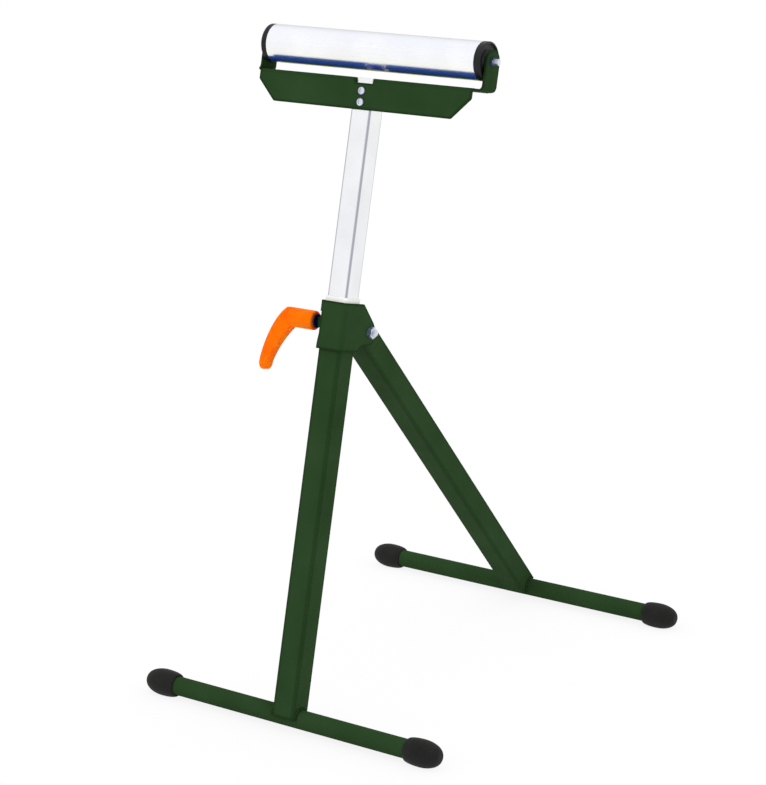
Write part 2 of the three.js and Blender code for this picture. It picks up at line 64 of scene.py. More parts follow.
# Places that the frame gives
joints = {joint["name"]: joint for joint in frame["joints"]}
slide_axis = Vector(joints["mast_slide"]["axis"])
LEAN = math.atan2(slide_axis.y, slide_axis.z)
front_bar_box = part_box("front_foot_bar")
rear_bar_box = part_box("rear_foot_bar")
FRONT_BAR = (front_bar_box[0] + front_bar_box[1]) / 2
REAR_BAR = (rear_bar_box[0] + rear_bar_box[1]) / 2
COLUMN_FRAME = Matrix.Translation(FRONT_BAR) @ Matrix.Rotation(-LEAN, 4, "X")
TO_COLUMN = COLUMN_FRAME.inverted()
PIVOT = Vector(joints["rear_leg_fold"]["pos_m"])
CLAMP = TO_COLUMN @ Vector(joints["clamp_lever_turn"]["pos_m"])
AXLE = TO_COLUMN @ Vector(joints["roller_spin"]["pos_m"])
PIVOT_IN_COLUMN = TO_COLUMN @ PIVOT


def column_box(name):
    """Lowest and highest corner of a CAD node, measured along the leaning column."""
    spots = [TO_COLUMN @ vertex.co for vertex in frame["nodes"][name].data.vertices]
    low = Vector(min(spot[axis] for spot in spots) for axis in range(3))
    high = Vector(max(spot[axis] for spot in spots) for axis in range(3))
    return low, high


# Sizes of the stock
TUBE_CORNER = 3.0 * MM
TUBE_WALL = 1.5 * MM
MAST_CORNER = 2.2 * MM
BAR_WALL = 1.5 * MM
SEAT_GAP = 0.3 * MM
PLATE_SHEET = 2.5 * MM
COLLAR_SHEET = 3.0 * MM
COLLAR_CORNER = 3.0 * MM
FINE = 0.002 * MM
ON_LINE = 0.01 * MM
ROUND_SIDES = 96
SMALL_SIDES = 48
WELD_RIPPLES = 30
SMOOTH_ANGLE = math.radians(38)
WHITE = (1, 1, 1, 1)


# Modelling helpers

def begin(piece_name):
    """Names the primitive that was just added and opens it in edit mode."""
    piece = bpy.context.object
    piece.name = piece_name
    bpy.ops.object.mode_set(mode="EDIT")
    bpy.ops.mesh.select_mode(type="VERT")
    bpy.ops.mesh.select_all(action="SELECT")
    return piece


def use(piece):
    """Makes one object the active and only selected one."""
    if bpy.context.mode != "OBJECT":
        bpy.ops.object.mode_set(mode="OBJECT")
    bpy.ops.object.select_all(action="DESELECT")
    piece.select_set(True)
    bpy.context.view_layer.objects.active = piece


def pick(kind, wanted):
    """Selects the vertices, edges or faces of the open mesh that pass a test."""
    bpy.ops.mesh.select_mode(type=kind)
    bpy.ops.mesh.select_all(action="DESELECT")
    mesh = bmesh.from_edit_mesh(bpy.context.edit_object.data)
    parts = {"VERT": mesh.verts, "EDGE": mesh.edges, "FACE": mesh.faces}[kind]
    for part in parts:
        if wanted(part):
            part.select_set(True)
    mesh.select_flush_mode()
    bmesh.update_edit_mesh(bpy.context.edit_object.data)


def middle(part):
    """Centre of an edge or a face."""
    spots = [vertex.co for vertex in part.verts]
    return sum(spots, Vector()) / len(spots)


def push(step):
    """Extrudes what is selected by a step."""
    bpy.ops.mesh.extrude_region_move(TRANSFORM_OT_translate={"value": tuple(step)})


def tidy_mesh():
    """Merges doubles and turns the faces outward."""
    bpy.ops.mesh.select_all(action="SELECT")
    bpy.ops.mesh.remove_doubles(threshold=FINE)
    bpy.ops.mesh.normals_make_consistent(inside=False)


def draw_line(piece_name, points):
    """A line through the points, drawn by extruding one vertex."""
    bpy.ops.object.select_all(action="DESELECT")
    bpy.ops.mesh.primitive_plane_add(size=MM)
    piece = begin(piece_name)
    bpy.ops.mesh.merge(type="CENTER")
    bpy.ops.transform.translate(value=tuple(points[0]))
    for here, there in zip(points, points[1:]):
        push(Vector(there) - Vector(here))
    bpy.ops.mesh.select_all(action="SELECT")
    return piece


def draw_face(piece_name, points):
    """A flat face with the points as its outline."""
    piece = draw_line(piece_name, points)
    bpy.ops.mesh.edge_face_add()
    return piece


def prism(piece_name, points, step):
    """A flat outline pushed out to a closed solid."""
    piece = draw_face(piece_name, points)
    push(step)
    tidy_mesh()
    bpy.ops.object.mode_set(mode="OBJECT")
    return piece


def cut_below(spot):
    """Cuts off what lies below a spot of the open mesh, fills the cut and closes the mesh."""
    bpy.ops.mesh.select_all(action="SELECT")
    bpy.ops.mesh.bisect(
        plane_co=spot,
        plane_no=(0, 0, 1),
        threshold=FINE,
        use_fill=True,
        clear_inner=True,
    )
    bpy.ops.object.mode_set(mode="OBJECT")


def even_steps(start, end, count):
    """Values from start to end in even steps, both ends included."""
    return [start + (end - start) * step / count for step in range(count + 1)]


def turn(piece_name, profile, sides=ROUND_SIDES):
    """A profile of (distance, radius) pairs spun about the X axis."""
    piece = draw_line(piece_name, [(along, 0, radius) for along, radius in profile])
    bpy.ops.mesh.spin(steps=sides, angle=math.tau, center=(0, 0, 0), axis=(1, 0, 0))
    tidy_mesh()
    bpy.ops.object.mode_set(mode="OBJECT")
    return piece


def apply_modifier(piece, kind, **settings):
    """Adds one modifier to a piece and applies it."""
    use(piece)
    modifier = piece.modifiers.new(kind.lower(), kind)
    for key, value in settings.items():
        setattr(modifier, key, value)
    bpy.ops.object.modifier_apply(modifier=modifier.name)


def soften(piece, width, segments=3, angle=32):
    """Rounds every edge that is sharper than the angle."""
    apply_modifier(
        piece,
        "BEVEL",
        width=width,
        segments=segments,
        limit_method="ANGLE",
        angle_limit=math.radians(angle),
    )


def carve(piece, cutter, operation="DIFFERENCE", solver="EXACT"):
    """Cuts a piece with another object, which is used up."""
    apply_modifier(piece, "BOOLEAN", object=cutter, operation=operation, solver=solver)
    bpy.data.objects.remove(cutter)


def fuse(piece, *others):
    """Joins other objects into a piece."""
    use(piece)
    for other in others:
        other.select_set(True)
    bpy.ops.object.join()
    return piece


def move(piece, matrix):
    """Places a piece and applies the place to its mesh."""
    piece.matrix_world = matrix @ piece.matrix_world
    use(piece)
    bpy.ops.object.transform_apply(location=True, rotation=True, scale=True)


def at(x=0.0, y=0.0, z=0.0):
    """A place, as a matrix."""
    return Matrix.Translation((x, y, z))


def copy_of(piece, piece_name):
    """A copy of a piece with a mesh of its own."""
    twin = piece.copy()
    twin.data = piece.data.copy()
    twin.name = piece_name
    bpy.context.scene.collection.objects.link(twin)
    return twin


def turned_round(piece, piece_name):
    """A copy turned half a turn about Z, for the other end of a bar or roller."""
    twin = copy_of(piece, piece_name)
    move(twin, Matrix.Rotation(math.pi, 4, "Z"))
    return twin


def block(low, high, piece_name="cutter"):
    """A box between two corners, for cutting."""
    bpy.ops.object.select_all(action="DESELECT")
    size = Vector(high) - Vector(low)
    bpy.ops.mesh.primitive_cube_add(size=1, location=(Vector(low) + Vector(high)) / 2, scale=size)
    piece = bpy.context.object
    piece.name = piece_name
    bpy.ops.object.transform_apply(location=True, rotation=True, scale=True)
    return piece


def peg(diameter, start, end, spot, sides=SMALL_SIDES):
    """A round cutter along X through a spot."""
    bpy.ops.object.select_all(action="DESELECT")
    bpy.ops.mesh.primitive_cylinder_add(
        vertices=sides,
        radius=diameter / 2,
        depth=end - start,
        location=((start + end) / 2, spot[1], spot[2]),
        rotation=(0, math.pi / 2, 0),
    )
    piece = bpy.context.object
    bpy.ops.object.transform_apply(location=True, rotation=True, scale=True)
    return piece


def dress(piece, body, finish, slot, *nodes):
    """Gives a finished piece its smoothing, finish and body, and hides the CAD nodes that it stands for.
    """
    use(piece)
    bpy.ops.object.shade_smooth_by_angle(angle=SMOOTH_ANGLE)
    apply_modifier(piece, "WEIGHTED_NORMAL", keep_sharp=True, weight=60)
    piece.data.materials.clear()
    piece.data.materials.append(finish)
    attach(piece, body)
    if nodes:
        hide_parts(*nodes)
    return piece


def lean(piece, body, finish, slot, *nodes):
    """Dresses a piece that was modelled along the column."""
    move(piece, COLUMN_FRAME)
    return dress(piece, body, finish, slot, *nodes)


# Finishes

def add_node(tree, kind, links=None, **settings):
    """Adds a shader node, with its settings and its input values or links."""
    made = tree.nodes.new(kind)
    for key, value in settings.items():
        setattr(made, key, value)
    for key, value in (links or {}).items():
        if isinstance(value, bpy.types.NodeSocket):
            tree.links.new(value, made.inputs[key])
        else:
            made.inputs[key].default_value = value
    return made


def new_finish(finish_name, roughness, metallic=0.0, specular=0.5):
    """A material with its shader, and the object's own coordinates to place patterns by."""
    finish = bpy.data.materials.new(finish_name)
    finish.use_nodes = True
    tree = finish.node_tree
    shader = tree.nodes["Principled BSDF"]
    shader.inputs["Roughness"].default_value = roughness
    shader.inputs["Metallic"].default_value = metallic
    shader.inputs["Specular IOR Level"].default_value = specular
    place = add_node(tree, "ShaderNodeTexCoord").outputs["Object"]
    return finish, tree, shader, place


def along_column(tree, place, stretch):
    """Coordinates that run along the leaning column and are stretched for drawn grain."""
    links = {"Vector": place, "Rotation": (LEAN, 0, 0), "Scale": stretch}
    return add_node(tree, "ShaderNodeMapping", links).outputs["Vector"]


def noise(tree, place, scale, detail=2.0, roughness=0.5):
    """Cloudy values from nought to one, with so many clouds to a metre."""
    links = {"Vector": place, "Scale": scale, "Detail": detail, "Roughness": roughness}
    return add_node(tree, "ShaderNodeTexNoise", links).outputs["Fac"]


def spread(tree, value, low, high, start, end):
    """Maps a value from one range to another."""
    links = {"Value": value, "From Min": low, "From Max": high, "To Min": start, "To Max": end}
    return add_node(tree, "ShaderNodeMapRange", links, clamp=True).outputs["Result"]


def larger(tree, first, second):
    """The larger of two values."""
    links = {0: first, 1: second}
    return add_node(tree, "ShaderNodeMath", links, operation="MAXIMUM").outputs["Value"]


def times(tree, first, second):
    """Two values multiplied."""
    links = {0: first, 1: second}
    return add_node(tree, "ShaderNodeMath", links, operation="MULTIPLY").outputs["Value"]


def mix_colours(tree, amount, first, second):
    """The first colour, turning to the second as the amount goes from nought to one."""
    links = {0: amount, 6: first, 7: second}
    return add_node(tree, "ShaderNodeMix", links, data_type="RGBA").outputs[2]


def edges(tree, radius):
    """One along the sharp edges of a piece and nought on its flats."""
    rounded = add_node(tree, "ShaderNodeBevel", {"Radius": radius}, samples=6).outputs["Normal"]
    plain = add_node(tree, "ShaderNodeNewGeometry").outputs["Normal"]
    links = {0: rounded, 1: plain}
    match = add_node(tree, "ShaderNodeVectorMath", links, operation="DOT_PRODUCT").outputs["Value"]
    return spread(tree, match, 0.995, 0.86, 0.0, 1.0)


def bump(tree, shader, height, strength, distance, under=None):
    """Adds a bump to the shader, over another bump where one is given."""
    links = {"Height": height, "Strength": strength, "Distance": distance}
    if under is not None:
        links["Normal"] = under
    made = add_node(tree, "ShaderNodeBump", links).outputs["Normal"]
    tree.links.new(made, shader.inputs["Normal"])
    return made


def srgb(red, green, blue):
    """A colour as read off a picture, in the shader's linear values."""
    def linear(value):
        value = value / 255
        if value <= 0.04045:
            return value / 12.92
        return ((value + 0.055) / 1.055) ** 2.4
    return linear(red), linear(green), linear(blue), 1.0


def green_powder_coat():
    """Matt dark green paint, clouded, flecked, rubbed on the sharp edges, with painted shade at the
    bends.
    """
    finish, tree, shader, place = new_finish("green_powder_coat", 0.8, specular=0.04)
    cloud = noise(tree, place, 14, 4)
    tone = mix_colours(tree, spread(tree, cloud, 0.3, 0.7, 0, 1), srgb(35, 58, 30), srgb(43, 67, 38))
    fleck = noise(tree, place, 2200, 1)
    tone = mix_colours(tree, spread(tree, fleck, 0.62, 0.8, 0, 0.2), tone, srgb(52, 82, 44))
    # Painted shade: a darker green along the bends and corners
    painted_bend_shade = spread(tree, edges(tree, 6 * MM), 0, 0.5, 0, 0.8)
    tone = mix_colours(tree, painted_bend_shade, tone, srgb(16, 38, 12))
    patchy = spread(tree, noise(tree, place, 160, 3), 0.5, 0.72, 0.0, 0.7)
    rubbed = times(tree, edges(tree, 0.6 * MM), patchy)
    tone = mix_colours(tree, rubbed, tone, srgb(80, 104, 70))
    tree.links.new(tone, shader.inputs["Base Color"])
    satin = spread(tree, noise(tree, place, 55, 3), 0.3, 0.7, 0.72, 0.88)
    tree.links.new(satin, shader.inputs["Roughness"])
    peel = bump(tree, shader, noise(tree, place, 620, 2), 0.2, 0.25 * MM)
    bump(tree, shader, noise(tree, place, 2600, 1), 0.08, 0.08 * MM, peel)
    return finish


def painted_corner_reflection(tree, place):
    """One along the four rounded corners of the mast and nought on its faces, where a darker reflection
    is painted.
    """
    links = {"Vector": place, "Location": TO_COLUMN.translation, "Rotation": TO_COLUMN.to_euler()}
    spot = add_node(tree, "ShaderNodeMapping", links).outputs["Vector"]
    across = add_node(tree, "ShaderNodeVectorMath", {0: spot}, operation="ABSOLUTE").outputs["Vector"]
    sides = add_node(tree, "ShaderNodeSeparateXYZ", {"Vector": across}).outputs
    links = {0: sides["X"], 1: sides["Y"]}
    nearest = add_node(tree, "ShaderNodeMath", links, operation="MINIMUM").outputs["Value"]
    return spread(tree, nearest, 11 * MM, 12.6 * MM, 0.0, 0.9)


def zinc_plate(finish_name, stretch, bright, dull, rough, film=0.0, corners=False):
    """Plated metal with drawn grain under a thin blue passive film."""
    finish, tree, shader, place = new_finish(finish_name, rough, metallic=1.0)
    shader.inputs["Specular Tint"].default_value = (0.7, 0.7, 0.7 - 1.1 * film, 1.0)
    grain_place = along_column(tree, place, stretch)
    grain = noise(tree, grain_place, 1.0, 5, 0.6)
    cloud = noise(tree, place, 22, 4)
    tone = mix_colours(tree, spread(tree, cloud, 0.3, 0.72, 0, 1), bright, dull)
    streak = spread(tree, grain, 0.5, 0.8, 0.0, 0.3)
    tone = mix_colours(tree, streak, tone, dull)
    if corners:
        # Painted reflection: a grey line along the mast's rounded corners
        tone = mix_colours(tree, painted_corner_reflection(tree, place), tone, srgb(158, 158, 160))
    tree.links.new(tone, shader.inputs["Base Color"])
    satin = spread(tree, grain, 0.3, 0.7, rough - 0.05, rough + 0.06)
    tree.links.new(satin, shader.inputs["Roughness"])
    drawn = bump(tree, shader, grain, 0.03, 0.05 * MM)
    bump(tree, shader, noise(tree, place, 1400, 2), 0.02, 0.04 * MM, drawn)
    if film:
        blue = add_node(tree, "ShaderNodeBsdfDiffuse", {"Color": (0.0, 0.09 * film, film, 1.0)})
        both = add_node(tree, "ShaderNodeAddShader", {0: shader.outputs[0], 1: blue.outputs[0]})
        tree.links.new(both.outputs[0], tree.nodes["Material Output"].inputs["Surface"])
    return finish


def moulded_rubber():
    """Black rubber with a pebbled skin and grey scuffs."""
    finish, tree, shader, place = new_finish("moulded_rubber", 0.62, specular=0.14)
    cloud = noise(tree, place, 45, 4)
    tone = mix_colours(tree, spread(tree, cloud, 0.3, 0.7, 0, 1), srgb(20, 20, 20), srgb(33, 32, 31))
    scuff = spread(tree, noise(tree, place, 320, 3), 0.62, 0.8, 0, 0.4)
    tone = mix_colours(tree, scuff, tone, srgb(58, 56, 54))
    tree.links.new(tone, shader.inputs["Base Color"])
    satin = spread(tree, cloud, 0.3, 0.7, 0.52, 0.72)
    tree.links.new(satin, shader.inputs["Roughness"])
    grain = bump(tree, shader, noise(tree, place, 1500, 3), 0.25, 0.12 * MM)
    bump(tree, shader, noise(tree, place, 180, 2), 0.12, 0.4 * MM, grain)
    return finish


def moulded_plastic(finish_name, light, dark, shine, specular=0.5, grain_scale=1300):
    """Plastic with a fine moulded grain, paler where its edges are rubbed."""
    finish, tree, shader, place = new_finish(finish_name, shine, specular=specular)
    cloud = noise(tree, place, 40, 3)
    tone = mix_colours(tree, spread(tree, cloud, 0.3, 0.7, 0, 1), light, dark)
    patchy = spread(tree, noise(tree, place, 240, 3), 0.4, 0.7, 0.0, 0.4)
    rubbed = times(tree, edges(tree, 0.7 * MM), patchy)
    tone = mix_colours(tree, rubbed, tone, light)
    tree.links.new(tone, shader.inputs["Base Color"])
    satin = spread(tree, noise(tree, place, 120, 3), 0.3, 0.7, shine - 0.06, shine + 0.1)
    tree.links.new(satin, shader.inputs["Roughness"])
    bump(tree, shader, noise(tree, place, grain_scale, 2), 0.14, 0.08 * MM)
    return finish


GREEN = green_powder_coat()
MAST_ZINC = zinc_plate(
    "mast_zinc",
    stretch=(700, 700, 9),
    bright=srgb(247, 247, 244),
    dull=srgb(237, 237, 234),
    rough=0.24,
    film=0.04,
    # with a painted darker reflection along the corners
    corners=True,
)
ROLLER_ZINC = zinc_plate(
    "roller_zinc",
    stretch=(5, 1400, 1400),
    bright=srgb(252, 249, 206),
    dull=srgb(245, 242, 198),
    rough=0.24,
    film=0.3,
)
FASTENER_ZINC = zinc_plate(
    "fastener_zinc",
    stretch=(300, 300, 300),
    bright=srgb(230, 231, 230),
    dull=srgb(204, 206, 208),
    rough=0.34,
    film=0.08,
)
BLACK_STEEL = zinc_plate(
    "black_steel",
    stretch=(400, 400, 400),
    bright=srgb(52, 56, 72),
    dull=srgb(32, 35, 44),
    rough=0.3,
    film=0.03,
)
RUBBER = moulded_rubber()
CAP_BLACK = moulded_plastic(
    "cap_black",
    light=srgb(34, 34, 35),
    dark=srgb(20, 20, 22),
    shine=0.42,
    specular=0.2,
)
LEVER_ORANGE = moulded_plastic(
    "lever_orange",
    light=srgb(255, 120, 0),
    dark=srgb(252, 104, 0),
    shine=0.5,
    specular=0.05,
    grain_scale=900,
)
BUSH_GREY = moulded_plastic(
    "bush_grey",
    light=srgb(150, 150, 150),
    dark=srgb(128, 128, 128),
    shine=0.5,
)
GUIDE_WHITE = moulded_plastic(
    "guide_white",
    light=srgb(244, 244, 242),
    dark=srgb(232, 232, 230),
    shine=0.45,
)

# Light goes a little way into the lever's plastic, and red light furthest
lever_shader = LEVER_ORANGE.node_tree.nodes["Principled BSDF"]
lever_shader.inputs["Subsurface Weight"].default_value = 0.8
lever_shader.inputs["Subsurface Radius"].default_value = (1.0, 0.1, 0.01)
lever_shader.inputs["Subsurface Scale"].default_value = 14 * MM


# Tubes

def square_tube(piece_name, size, corner, wall, low, high):
    """A hollow square tube along Z with rounded corners."""
    bpy.ops.object.select_all(action="DESELECT")
    bpy.ops.mesh.primitive_plane_add(size=size, location=(0, 0, low))
    piece = begin(piece_name)
    bpy.ops.mesh.bevel(offset=corner, segments=8, affect="VERTICES")
    bpy.ops.mesh.select_all(action="SELECT")
    bpy.ops.mesh.inset(thickness=wall)
    bpy.ops.mesh.delete(type="FACE")
    bpy.ops.mesh.select_all(action="SELECT")
    push((0, 0, high - low))
    tidy_mesh()
    bpy.ops.object.mode_set(mode="OBJECT")
    use(piece)
    bpy.ops.object.transform_apply(location=True, rotation=True, scale=True)
    return piece


def round_tube(piece_name, diameter, wall, low, high):
    """A hollow round tube along X with eased ends."""
    bpy.ops.object.select_all(action="DESELECT")
    bpy.ops.mesh.primitive_circle_add(vertices=ROUND_SIDES, radius=diameter / 2, fill_type="NGON")
    piece = begin(piece_name)
    bpy.ops.mesh.inset(thickness=wall)
    bpy.ops.mesh.delete(type="FACE")
    bpy.ops.mesh.select_all(action="SELECT")
    push((0, 0, high - low))
    tidy_mesh()
    bpy.ops.object.mode_set(mode="OBJECT")
    move(piece, at(x=low) @ Matrix.Rotation(math.pi / 2, 4, "Y"))
    soften(piece, 0.3 * MM, 2)
    return piece


def weld_beads(bead_name, bar_radius, x, foot):
    """Two rippled beads, each running over a bar at one side of a tube, down to the tube's foot."""
    middle_radius = bar_radius + 0.9 * MM
    bead_radius = 2.2 * MM
    swell = 1.16
    bpy.ops.object.select_all(action="DESELECT")
    bpy.ops.mesh.primitive_torus_add(
        major_radius=middle_radius,
        minor_radius=bead_radius,
        major_segments=120,
        minor_segments=14,
        location=(x, 0, 0),
        rotation=(0, math.pi / 2, 0),
    )
    bpy.ops.object.transform_apply(location=True, rotation=True, scale=True)
    piece = begin(bead_name + "_right")
    for ripple in range(WELD_RIPPLES):
        angle = math.pi * (ripple + 0.5) / WELD_RIPPLES
        ray = Vector((0, math.cos(angle), math.sin(angle)))
        pick("VERT", lambda vertex: near_ray(vertex.co, ray))
        ring = Vector((x, 0, 0)) + middle_radius * ray
        bpy.ops.transform.resize(value=(swell, swell, swell), center_override=ring)
    cut_below((x, 0, foot))
    return piece, turned_round(piece, bead_name + "_left")


def near_ray(spot, ray):
    """True within a fifth of a ripple of a ray from the bar's axis."""
    flat = Vector((0, spot.y, spot.z))
    return flat.normalized().dot(ray) > math.cos(math.pi / (5 * WELD_RIPPLES))


def front_column():
    """The square column, saddled on the front bar and welded to it."""
    low, high = column_box("front_column")
    size = high.x - low.x
    piece = square_tube("column", size, TUBE_CORNER, TUBE_WALL, low.z, high.z)
    bar_diameter = front_bar_box[1].z - front_bar_box[0].z
    carve(piece, peg(bar_diameter + 2 * SEAT_GAP, -size, size, (0, 0, 0), ROUND_SIDES))
    soften(piece, 0.35 * MM, 2, 50)
    lean(piece, "front_frame", GREEN, "green_paint", "front_column")
    for bead in weld_beads("column_weld", bar_diameter / 2, size / 2, low.z):
        lean(bead, "front_frame", GREEN, "green_paint")


def foot_bar(which, body, box):
    """A round bar that the stand rests on through its caps."""
    low, high = box
    centre = (low + high) / 2
    piece = round_tube(which + "_bar", high.z - low.z, BAR_WALL, low.x, high.x)
    move(piece, at(y=centre.y, z=centre.z))
    dress(piece, body, GREEN, "green_paint", which + "_foot_bar")


def foot_cap(which, body):
    """A rubber cap with a rolled mouth, a round shoulder, a domed end and a flat under it."""
    low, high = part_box(which + "_foot_cap_right")
    bar_low, bar_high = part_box(which + "_foot_bar")
    bar_radius = (bar_high.z - bar_low.z) / 2
    centre_y = (bar_low.y + bar_high.y) / 2
    centre_z = (bar_low.z + bar_high.z) / 2
    length = high.x - low.x
    widest = (high.y - low.y) / 2
    tip = 4 * MM
    lip = 1.2 * MM
    shoulder = 20 * MM
    mouth = bar_radius + SEAT_GAP + lip
    bore = bar_radius + SEAT_GAP
    socket = bar_high.x + SEAT_GAP - low.x
    dome = length - shoulder
    dimple = 0.4 * MM
    quarter_turn = even_steps(0, math.pi / 2, 14)
    profile = [(socket, 0), (socket, bore), (lip / 2, bore), (0, bore + lip / 2)]
    for angle in quarter_turn:
        profile.append((shoulder * (1 - math.cos(angle)), mouth + (widest - mouth) * math.sin(angle)))
    for angle in quarter_turn:
        profile.append((shoulder + dome * math.sin(angle), tip + (widest - tip) * math.cos(angle)))
    profile.append((length - dimple, 0))
    cap = turn(which + "_cap_right", profile)
    use(cap)
    bpy.ops.object.mode_set(mode="EDIT")
    cut_below((0, 0, -centre_z))
    move(cap, at(x=low.x))
    twin = turned_round(cap, which + "_cap_left")
    for piece, side in ((cap, "right"), (twin, "left")):
        move(piece, at(y=centre_y, z=centre_z))
        dress(piece, body, RUBBER, "black_rubber", which + "_foot_cap_" + side)


def rear_leg():
    """The leg, with its top cut to stop on the column and its foot saddled on the rear bar."""
    reach = REAR_BAR - PIVOT
    slope = Matrix.Rotation(math.atan2(reach.y, -reach.z), 4, "X")
    low, high = column_box("front_column")
    size = high.x - low.x
    saddle = 6 * MM
    top = 80 * MM
    stop = high.y + 0.6 * MM
    ceiling = column_box("collar_bracket")[1].z - SEAT_GAP
    piece = square_tube("rear_leg", size, TUBE_CORNER, TUBE_WALL, saddle - reach.length, top)
    move(piece, at(*PIVOT) @ slope)
    mitre = block((-size, -1, PIVOT_IN_COLUMN.z - size), (size, stop, 1))
    move(mitre, COLUMN_FRAME)
    carve(piece, mitre)
    crop = block((-size, -size, ceiling), (size, 5 * size, 1))
    move(crop, COLUMN_FRAME)
    carve(piece, crop)
    bar_diameter = rear_bar_box[1].z - rear_bar_box[0].z
    carve(piece, peg(bar_diameter + 2 * SEAT_GAP, -size, size, REAR_BAR, ROUND_SIDES))
    soften(piece, 0.35 * MM, 2, 50)
    dress(piece, "rear_leg", GREEN, "green_paint", "rear_leg_tube")
    for bead in weld_beads("leg_weld", bar_diameter / 2, size / 2, saddle):
        move(bead, at(*REAR_BAR) @ slope)
        dress(bead, "rear_leg", GREEN, "green_paint")


def mast():
    """The bright square tube that slides in the column."""
    low, high = column_box("mast_tube")
    piece = square_tube("mast", high.x - low.x, MAST_CORNER, TUBE_WALL, low.z, high.z)
    soften(piece, 0.3 * MM, 2, 50)
    lean(piece, "mast", MAST_ZINC, "bright_zinc", "mast_tube")


def mast_guide():
    """The white ring round the mast at the top of the collar."""
    low, high = column_box("mast_guide")
    piece = square_tube("guide_ring", high.x - low.x, TUBE_CORNER, TUBE_WALL, low.z, high.z)
    soften(piece, 0.5 * MM, 3, 50)
    lean(piece, "front_frame", GUIDE_WHITE, "white_nylon", "mast_guide")


# Bent sheet

def collar():
    """Sheet bent to a U round the column, with its cheeks trimmed to their outline."""
    low, high = column_box("collar_bracket")
    half = COLLAR_SHEET / 2
    side = high.x - half
    front = low.y + half
    pivot_y = PIVOT_IN_COLUMN.y
    pivot_z = PIVOT_IN_COLUMN.z
    tube = column_box("front_column")[1].x
    corners = [(side, high.y), (side, front), (-side, front), (-side, high.y)]
    piece = draw_line("collar", [(x, y, low.z) for x, y in corners])
    pick("VERT", lambda vertex: vertex.co.y < front + FINE)
    bpy.ops.mesh.bevel(offset=COLLAR_CORNER, segments=6, affect="VERTICES")
    bpy.ops.mesh.select_all(action="SELECT")
    push((0, 0, high.z - low.z))
    tidy_mesh()
    bpy.ops.object.mode_set(mode="OBJECT")
    apply_modifier(piece, "SOLIDIFY", thickness=COLLAR_SHEET, offset=0)
    nose_y = pivot_y + 9 * MM
    outline = [
        (low.y - MM, low.z - MM),
        (tube - MM, low.z - MM),
        (pivot_y - 15 * MM, pivot_z - 18 * MM),
        (nose_y, pivot_z - 15 * MM),
        (high.y, pivot_z - 4.5 * MM),
        (nose_y, pivot_z + 9.75 * MM),
        (tube + 3 * MM, high.z + MM),
        (low.y - MM, high.z + MM),
    ]
    trim = draw_face("cheek_outline", [(high.x + MM, y, z) for y, z in outline])
    pick("VERT", lambda vertex: vertex.co.y > tube)
    bpy.ops.mesh.bevel(offset=COLLAR_CORNER, segments=5, affect="VERTICES")
    bpy.ops.mesh.select_all(action="SELECT")
    push((low.x - high.x - 2 * MM, 0, 0))
    tidy_mesh()
    bpy.ops.object.mode_set(mode="OBJECT")
    carve(piece, trim, "INTERSECT")
    window_side = low.x + COLLAR_SHEET + 0.5 * MM
    window_top = CLAMP.z + 14 * MM
    window_bottom = CLAMP.z - 32.5 * MM
    opening = [
        (window_side, window_top),
        (window_side, CLAMP.z - 13.5 * MM),
        (low.x, window_bottom),
        (low.x - MM, window_bottom),
        (low.x - MM, window_top),
    ]
    opening = [(x, low.y - MM, z) for x, z in opening]
    carve(piece, prism("window", opening, (0, tube - low.y + MM, 0)))
    soften(piece, 0.45 * MM, 3, 40)
    lean(piece, "front_frame", GREEN, "green_paint", "collar_bracket")


